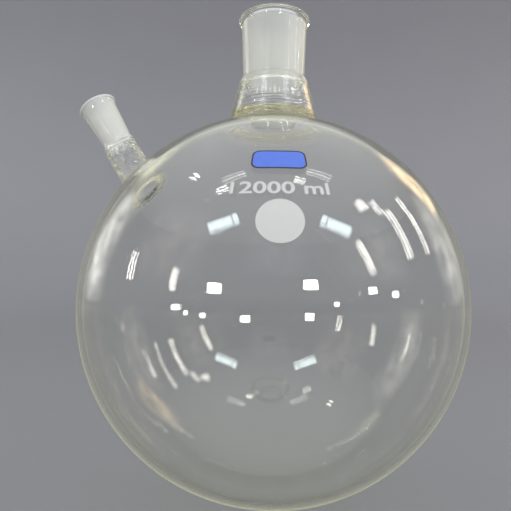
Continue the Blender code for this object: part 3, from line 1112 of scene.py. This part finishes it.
@dataclass
class EnamelMarks:
    """The fired prints on the bulb's front, each a thin film laid on the ball."""

    layout: Layout
    film: float = 0.12 * MM
    lift: float = 0.02 * MM
    spot_radius: float = 13.4 * MM
    spot_angle: float = 20.9
    capacity_text: str = "12000 ml"
    capacity_size: Point = (56.0 * MM, 8.6 * MM)
    capacity_angle: float = 29.2
    letter_size: float = 12.0 * MM
    letter_swell: float = 0.22 * MM
    badge_size: Point = (32.0 * MM, 16.0 * MM)
    badge_corner: float = 4.5 * MM
    badge_border: float = 0.9 * MM
    badge_overlap: float = 0.1 * MM
    badge_angle: float = 38.0
    slice_width: float = 1.5 * MM

    def _film(self, flat: bmesh.types.BMesh, angle: float) -> bmesh.types.BMesh:
        """Cuts a flat print into narrow strips, lays it on the ball and gives it its thickness.

        Args:
            flat: the print in the XY plane about the origin.
            angle: its height angle over the bulb's equator, in degrees.

        Returns:
            The same mesh as a closed film, about the bulb's centre.
        """
        for across, normal in ((0, (1.0, 0.0, 0.0)), (1, (0.0, 1.0, 0.0))):
            reach = max(abs(v.co[across]) for v in flat.verts)
            count = int(reach / self.slice_width)
            for i in range(-count, count + 1):
                origin = [0.0, 0.0, 0.0]
                origin[across] = i * self.slice_width
                geometry = flat.verts[:] + flat.edges[:] + flat.faces[:]
                bmesh.ops.bisect_plane(flat, geom=geometry, dist=MERGE, plane_co=origin, plane_no=normal)
        bmesh.ops.triangulate(flat, faces=flat.faces[:])
        bmesh.ops.remove_doubles(flat, verts=flat.verts[:], dist=PRINT_MERGE)
        shell = self.layout.radius + self.lift
        level = math.radians(angle)
        for vert in flat.verts:
            turn = vert.co.x / (shell * math.cos(level))
            height = level + vert.co.y / shell
            ring = shell * math.cos(height)
            vert.co = Vector((ring * math.sin(turn), -ring * math.cos(turn), shell * math.sin(height)))
        for face in flat.faces:
            if face.normal.dot(face.calc_center_median()) < 0.0:
                face.normal_flip()
        flat.normal_update()
        grown = bmesh.ops.extrude_face_region(flat, geom=flat.faces[:], use_keep_orig=True)
        for vert in (g for g in grown["geom"] if isinstance(g, bmesh.types.BMVert)):
            vert.co += vert.co.normalized() * self.film
        bmesh.ops.recalc_face_normals(flat, faces=flat.faces[:])
        return flat

    def spot(self) -> bmesh.types.BMesh:
        """The round write-on spot."""
        disc = bmesh.new()
        bmesh.ops.create_circle(disc, cap_ends=True, segments=96, radius=self.spot_radius)
        return self._film(disc, self.spot_angle)

    def capacity(self) -> bmesh.types.BMesh:
        """The capacity in plain upright letters."""
        text = bpy.data.curves.new("capacity", "FONT")
        text.body = self.capacity_text
        text.align_x = "CENTER"
        text.align_y = "CENTER"
        text.size = self.letter_size
        text.offset = self.letter_swell
        text.resolution_u = 4
        guide = bpy.data.objects.new("capacity", text)
        bpy.context.scene.collection.objects.link(guide)
        bpy.context.view_layer.update()
        mesh = bpy.data.meshes.new_from_object(guide.evaluated_get(bpy.context.evaluated_depsgraph_get()))
        letters = bmesh.new()
        letters.from_mesh(mesh)
        bpy.data.objects.remove(guide)
        bpy.data.meshes.remove(mesh)
        for vert in letters.verts:
            vert.co.z = 0.0
        low = [min(v.co[k] for v in letters.verts) for k in (0, 1)]
        high = [max(v.co[k] for v in letters.verts) for k in (0, 1)]
        for vert in letters.verts:
            for k in (0, 1):
                middle = (low[k] + high[k]) / 2.0
                vert.co[k] = (vert.co[k] - middle) * self.capacity_size[k] / (high[k] - low[k])
        bmesh.ops.remove_doubles(letters, verts=letters.verts[:], dist=PRINT_MERGE)
        return self._film(letters, self.capacity_angle)

    def _plate(self, width: float, height: float, corner: float) -> bmesh.types.BMesh:
        """A flat rounded plate about the origin.

        Args:
            width: its width.
            height: its height.
            corner: the radius of its corners.

        Returns:
            The plate.
        """
        plate = bmesh.new()
        bmesh.ops.create_grid(plate, x_segments=1, y_segments=1, size=0.5)
        bmesh.ops.scale(plate, vec=(width, height, 1.0), verts=plate.verts[:])
        bmesh.ops.bevel(
            plate, geom=plate.verts[:], offset=corner, segments=8, profile=0.5, affect="VERTICES", material=-1
        )
        return plate

    def panel(self) -> bmesh.types.BMesh:
        """The badge's plain blue panel."""
        edge = self.badge_border + self.badge_overlap
        width, height = self.badge_size
        plate = self._plate(width - 2.0 * edge, height - 2.0 * edge, self.badge_corner - edge)
        return self._film(plate, self.badge_angle)

    def outline(self) -> bmesh.types.BMesh:
        """The dark line round the badge."""
        plate = self._plate(*self.badge_size, self.badge_corner)
        inset = bmesh.ops.inset_region(
            plate, faces=plate.faces[:], use_boundary=True, use_even_offset=True, thickness=self.badge_border
        )
        ring = set(inset["faces"])
        bmesh.ops.delete(plate, geom=[f for f in plate.faces if f not in ring], context="FACES")
        return self._film(plate, self.badge_angle)

    def dress(self, white: bpy.types.Material, blue: bpy.types.Material, dark: bpy.types.Material) -> None:
        """Builds and places the four marks.

        Args:
            white: the white enamel.
            blue: the blue enamel.
            dark: the dark enamel.
        """
        lay_out(
            self.layout.bulb(),
            ("writing_spot", self.spot(), white, "white_enamel", "marking_spot"),
            ("capacity_print", self.capacity(), white, "white_enamel", "capacity_mark"),
            ("badge_fill", self.panel(), blue, "blue_enamel", "badge_panel"),
            ("badge_outline", self.outline(), dark, "dark_enamel", "badge_border"),
        )


@dataclass
class EtchedTicks:
    """A short row of plain etched ticks on the collar, above the badge."""

    layout: Layout
    neck: CentreNeck
    count: int = 9
    spacing: float = 3.4 * MM
    width: float = 0.75 * MM
    short: float = 2.8 * MM
    tall: float = 5.0 * MM
    tall_every: int = 4
    height: float = 163.0 * MM
    film: float = 0.05 * MM

    def build(self) -> bmesh.types.BMesh:
        """The ticks, some of them taller, laid on the collar's slope."""
        ticks = bmesh.new()
        for i in range(self.count):
            tall = self.tall if i % self.tall_every == 0 else self.short
            bar = bmesh.ops.create_cube(ticks, size=1.0)["verts"]
            bmesh.ops.scale(ticks, vec=(self.width, self.film, tall), verts=bar)
            across = (i - (self.count - 1) / 2.0) * self.spacing
            for vert in bar:
                height = self.height + vert.co.z
                radius = self.neck.collar.at(height) + self.film / 2.0 - vert.co.y
                turn = (across + vert.co.x) / self.neck.collar.at(self.height)
                vert.co = Vector((radius * math.sin(turn), -radius * math.cos(turn), height))
        bmesh.ops.recalc_face_normals(ticks, faces=ticks.faces[:])
        return ticks

    def dress(self, finish: bpy.types.Material) -> None:
        """Places the ticks."""
        settle(piece_from("etched_ticks", self.build(), finish, self.layout.bulb()), "ground_glass")


# ---------------------------------------------------------------------------------------------------
# Studio


def dome_place(centre: Vector, azimuth: float, elevation: float, roll: float, distance: float) -> Matrix:
    """A place on a dome round the bulb, facing it.

    Args:
        centre: the bulb's centre.
        azimuth: its azimuth in degrees, from -Y towards +X.
        elevation: its elevation in degrees.
        roll: its turn about its own axis.
        distance: how far off it is.

    Returns:
        The place.
    """
    turn, rise = math.radians(azimuth), math.radians(elevation)
    out = Vector((math.cos(rise) * math.sin(turn), -math.cos(rise) * math.cos(turn), math.sin(rise)))
    facing = out.to_track_quat("Z", "Y").to_matrix() @ Matrix.Rotation(math.radians(roll), 3, "Z")
    return Matrix.Translation(centre + out * distance) @ facing.to_4x4()


@dataclass(frozen=True)
class Lamp:
    """A soft lamp on the dome."""

    name: str
    azimuth: float
    elevation: float
    width: float
    height: float
    roll: float
    radiance: float
    colour: Colour = (1.0, 0.98, 0.95)

    def hang(self, centre: Vector) -> bpy.types.Object:
        """Hangs the lamp.

        Args:
            centre: the bulb's centre.

        Returns:
            The lamp's object.
        """
        light = bpy.data.lights.new(self.name, "AREA")
        light.shape = "RECTANGLE"
        light.size, light.size_y = self.width, self.height
        light.energy = self.radiance * math.pi * self.width * self.height
        light.color = self.colour
        hung = bpy.data.objects.new(self.name, light)
        hung.matrix_world = dome_place(centre, self.azimuth, self.elevation, self.roll, DOME)
        hung.visible_camera = False
        bpy.context.scene.collection.objects.link(hung)
        return hung


@dataclass(frozen=True)
class Bundle:
    """A few parallel lamp tubes on the dome, side by side."""

    azimuth: float
    elevation: float
    length: float
    roll: float
    count: int
    spacing: float = 0.11
    radiance: float = 46.0
    width: float = 0.018

    def tubes(self, name: str) -> list[Lamp]:
        """The tubes as lamps.

        Args:
            name: how their names start.

        Returns:
            The lamps.
        """
        turn = math.radians(self.roll)
        made = []
        for k in range(self.count):
            offset = math.degrees((k - (self.count - 1) / 2.0) * self.spacing / DOME)
            azimuth = self.azimuth + offset * math.cos(turn) / math.cos(math.radians(self.elevation))
            elevation = self.elevation + offset * math.sin(turn)
            lamp = Lamp(f"{name}_{k}", azimuth, elevation, self.width, self.length, self.roll, self.radiance)
            made.append(lamp)
        return made


@dataclass(frozen=True)
class SoftPanel:
    """A large soft panel on a dome."""

    name: str
    azimuth: float
    elevation: float
    width: float
    height: float
    colour: Colour
    radiance: float
    cloud: float = 0.35
    distance: float = DOME

    def hang(self, centre: Vector) -> bpy.types.Object:
        """Hangs the panel.

        Args:
            centre: the bulb's centre.

        Returns:
            The panel.
        """
        sheet = bmesh.new()
        sheet.loops.layers.uv.new("panel")
        bmesh.ops.create_grid(sheet, x_segments=1, y_segments=1, size=0.5, calc_uvs=True)
        bmesh.ops.scale(sheet, vec=(self.width, self.height, 1.0), verts=sheet.verts[:])
        finish = PanelLight(self.name, self.colour, self.radiance, self.cloud).make()
        place = dome_place(centre, self.azimuth, self.elevation, 0.0, self.distance)
        panel = piece_from(self.name, sheet, finish, place)
        panel.visible_camera = False
        panel.visible_shadow = False
        return panel


@dataclass
class Studio:
    """A pale round sweep, its lamps, and the camera in front of the print."""

    layout: Layout
    floor_radius: float = 2.4
    bend_radius: float = 3.0
    wall_top: float = 3.8
    low_sky: Colour = (0.26, 0.262, 0.275)
    high_sky: Colour = (1.0, 1.02, 1.07)
    sky_rise: Point = (0.40, 0.98)
    paper_drop: float = 0.1 * MM
    camera_offset: Triple = (-13.0 * MM, -417.4 * MM, 20.4 * MM)
    camera_pitch: float = 2.62
    camera_roll: float = 0.70
    lens: float = 36.9
    sensor: float = 36.0
    square_radiance: float = 42.0
    window_radiance: float = 11.0
    daylight: Colour = (0.80, 0.93, 1.0)

    def sweep(self) -> bpy.types.Object:
        """The floor that curves up into a wall all round."""
        outline = [Stop(0.0, 0.0), Stop(self.floor_radius * 0.5, 0.0)]
        outline += arc((self.floor_radius, self.bend_radius), self.bend_radius, -90.0, 0.0, 16)
        outline.append(Stop(self.floor_radius + self.bend_radius, self.wall_top))
        bowl = turned_wall(outline, 96, closed=False)
        inwards = Vector((0.0, 0.0, self.bend_radius))
        wrong = [f for f in bowl.faces if f.normal.dot(f.calc_center_median() - inwards) > 0.0]
        bmesh.ops.reverse_faces(bowl, faces=wrong)
        finish = StudioPaper().make()
        sweep = piece_from("studio_sweep", bowl, finish, Matrix.Translation((0.0, 0.0, -self.paper_drop)))
        return sweep

    def lamps(self) -> list[Lamp]:
        """Two windows, a few square lamps and tubes in bundles."""
        hung = []
        hung += self._window("window_left", -35.0, 43.5, 32.0, -1)
        hung += self._window("window_right", 41.0, 41.5, -36.0, 1)
        squares = ((18.5, 13.0, 0.38, 0.25), (-31.5, 10.5, 0.35, 0.26), (52.0, 9.0, 0.20, 0.16))
        squares += ((65.5, 6.5, 0.13, 0.13), (-52.0, 0.5, 0.18, 0.14))
        for i, (azimuth, elevation, width, height) in enumerate(squares):
            hung.append(Lamp(f"square_{i}", azimuth, elevation, width, height, 0.0, self.square_radiance))
        bundles = (
            Bundle(52.5, 24.0, 0.90, 12.0, 2),
            Bundle(83.5, 30.0, 1.10, -6.0, 2),
            Bundle(100.0, 29.0, 1.20, -12.0, 1),
            Bundle(-85.0, 15.5, 0.60, 8.0, 2),
            Bundle(-55.0, 13.0, 0.55, -4.0, 2),
            Bundle(-53.0, 61.0, 0.27, -36.0, 2, 0.10),
            Bundle(-56.0, 69.5, 0.55, -26.0, 2, 0.12, 5.0, 0.054),
            Bundle(34.5, 70.0, 0.25, 48.0, 2),
            Bundle(65.0, 69.0, 0.55, 24.0, 2, 0.12, 5.0, 0.054),
            Bundle(69.0, 47.5, 0.28, 0.0, 3, 0.09),
            Bundle(79.0, 43.5, 0.35, -3.0, 2, 0.09),
            Bundle(-92.0, 58.5, 0.17, -60.0, 2),
        )
        for i, bundle in enumerate(bundles):
            hung += bundle.tubes(f"tube_{i}")
        return hung

    def panels(self) -> list[SoftPanel]:
        """The soft panels at both edges and behind, which only the glass shows."""
        return [
            SoftPanel("edge_left", -118.0, 18.0, 1.4, 2.2, (1.0, 0.985, 0.94), 2.0),
            SoftPanel("edge_right", 116.0, 17.0, 1.5, 2.0, (1.0, 0.985, 0.93), 1.0),
            SoftPanel("warm_right", 134.0, 31.0, 0.9, 1.2, (1.0, 0.72, 0.42), 2.6),
            SoftPanel("olive_left", -140.0, 38.0, 0.9, 0.8, (0.9, 0.92, 0.62), 1.1),
            SoftPanel("room_left", -62.0, 30.0, 2.4, 2.2, (1.0, 0.86, 0.80), 0.8, 0.42, 3.15),
            SoftPanel("room_right", 58.0, 26.0, 2.4, 2.0, (1.0, 0.90, 0.84), 0.75, 0.38, 3.15),
            SoftPanel("room_front", 0.0, 30.0, 1.8, 1.4, (0.92, 0.94, 1.0), 0.6, 0.32, 3.15),
        ]

    def _window(self, name: str, azimuth: float, elevation: float, roll: float, side: int) -> list[Lamp]:
        """A window of two panes over a narrow bottom light.

        Args:
            name: the window's name.
            azimuth: its middle's azimuth.
            elevation: its middle's elevation.
            roll: its turn.
            side: -1 where the narrow pane is at the right, 1 where it is at the left.

        Returns:
            The panes.
        """
        panes = []
        turn = math.radians(roll)
        for label, across, down, width, height in (
            ("wide", 0.08 * side, 0.03, 0.62, 0.25),
            ("narrow", -0.335 * side, 0.03, 0.13, 0.25),
            ("low", 0.0, -0.145, 0.80, 0.035),
        ):
            right = across * math.cos(turn) - down * math.sin(turn)
            above = across * math.sin(turn) + down * math.cos(turn)
            turned = azimuth + math.degrees(right / DOME) / math.cos(math.radians(elevation))
            raised = elevation + math.degrees(above / DOME)
            light = (self.window_radiance, self.daylight)
            panes.append(Lamp(f"{name}_{label}", turned, raised, width, height, roll, *light))
        return panes

    def camera(self) -> bpy.types.Object:
        """The camera, level with the bulb's middle and close in front of it."""
        data = bpy.data.cameras.new("camera")
        data.lens = self.lens
        data.sensor_width = self.sensor
        data.clip_start = 0.01
        seen = bpy.data.objects.new("camera", data)
        pitch = Matrix.Rotation(math.radians(90.0 + self.camera_pitch), 4, "X")
        roll = Matrix.Rotation(math.radians(self.camera_roll), 4, "Z")
        stand = Matrix.Translation(self.layout.centre + Vector(self.camera_offset))
        seen.matrix_world = stand @ pitch @ roll
        bpy.context.scene.collection.objects.link(seen)
        bpy.context.scene.camera = seen
        return seen

    def set_up(self) -> None:
        """Builds the studio and sets how light is traced and shown."""
        self.sweep()
        for light in self.lamps() + self.panels():
            light.hang(self.layout.centre)
        self.camera()
        scene = bpy.context.scene
        scene.world = self.sky()
        scene.view_settings.view_transform = "Standard"
        scene.cycles.max_bounces = 32
        scene.cycles.transmission_bounces = 32
        scene.cycles.glossy_bounces = 24
        scene.cycles.transparent_max_bounces = 32
        scene.cycles.sample_clamp_indirect = 40.0

    def sky(self) -> bpy.types.World:
        """The sky above the sweep, brighter towards the top."""
        recipe = Recipe(bpy.data.worlds.new("studio_light"))
        direction = recipe.node("ShaderNodeTexCoord", output="Generated")
        height = recipe.node("ShaderNodeSeparateXYZ", None, {0: direction}, "Z")
        stops = tuple(zip(self.sky_rise, (self.low_sky, self.high_sky)))
        tone = recipe.node("ShaderNodeValToRGB", {"stops": stops}, {0: height})
        return recipe.finish(recipe.node("ShaderNodeBackground", None, {"Color": tone}))


def main() -> None:
    """Builds the studio, the glass and the marks in order."""
    logging.basicConfig(level=logging.INFO, format="%(name)s: %(message)s")
    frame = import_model()
    layout = Layout.from_frame(frame)
    Studio(layout).set_up()

    clear = Glass("clear_glass").make()
    collar = Glass(
        "worked_collar_glass",
        swell=16.0 * MM,
        swell_depth=0.16 * MM,
        ripple=5.0 * MM,
        ripple_depth=0.03 * MM,
        rings_depth=0.32 * MM,
    ).make()
    foot = layout.centre.z + SEAL_FOOT
    fused = Glass(
        "fused_glass",
        tint=(0.98, 0.98, 0.95),
        swell=12.0 * MM,
        swell_depth=0.25 * MM,
        ripple=4.0 * MM,
        ripple_depth=0.08 * MM,
        rings=1.3 * MM,
        rings_depth=1.1 * MM,
        absorbed=(0.88, 0.86, 0.30),
        density=26.0,
        fade=(foot, foot + SEAL_RISE),
    ).make()
    ground = Glass("centre_socket_glass", grinding=Grinding((0.0, 0.0, 1.0))).make()
    side_fused = Glass(
        "fused_side_glass",
        tint=(0.97, 0.97, 0.92),
        swell=8.0 * MM,
        swell_depth=0.3 * MM,
        ripple=3.2 * MM,
        ripple_depth=1.3 * MM,
        absorbed=(0.9, 0.88, 0.5),
        density=40.0,
        glow=(0.85, 0.83, 0.68),
        glow_start=0.35,
    ).make()
    side_clear = Glass(
        "worked_side_glass",
        swell=12.0 * MM,
        swell_depth=1.0 * MM,
        ripple=4.5 * MM,
        ripple_depth=2.2 * MM,
    ).make()
    side_ground = Glass("side_socket_glass", grinding=Grinding(tuple(layout.side_axis), clearness=0.3)).make()
    white = Enamel("white_enamel", (0.62, 0.625, 0.60), (0.57, 0.58, 0.56)).make()
    blue = Enamel("blue_enamel", (0.10, 0.20, 0.72), (0.07, 0.15, 0.62)).make()
    dark = Enamel("dark_enamel", (0.012, 0.014, 0.035), (0.02, 0.022, 0.05)).make()
    etched = Enamel("etched_white", (0.90, 0.91, 0.89), (0.80, 0.81, 0.80), roughness=0.8).make()

    bulb = BlownBulb(layout)
    bulb.dress(bulb.build(), clear)
    neck = CentreNeck(layout, bulb)
    neck.dress(collar, fused, ground)
    SideNeck(layout, bulb).dress(side_clear, side_fused, side_ground)
    EnamelMarks(layout).dress(white, blue, dark)
    EtchedTicks(layout, neck).dress(etched)


if __name__ == "__main__":
    main()
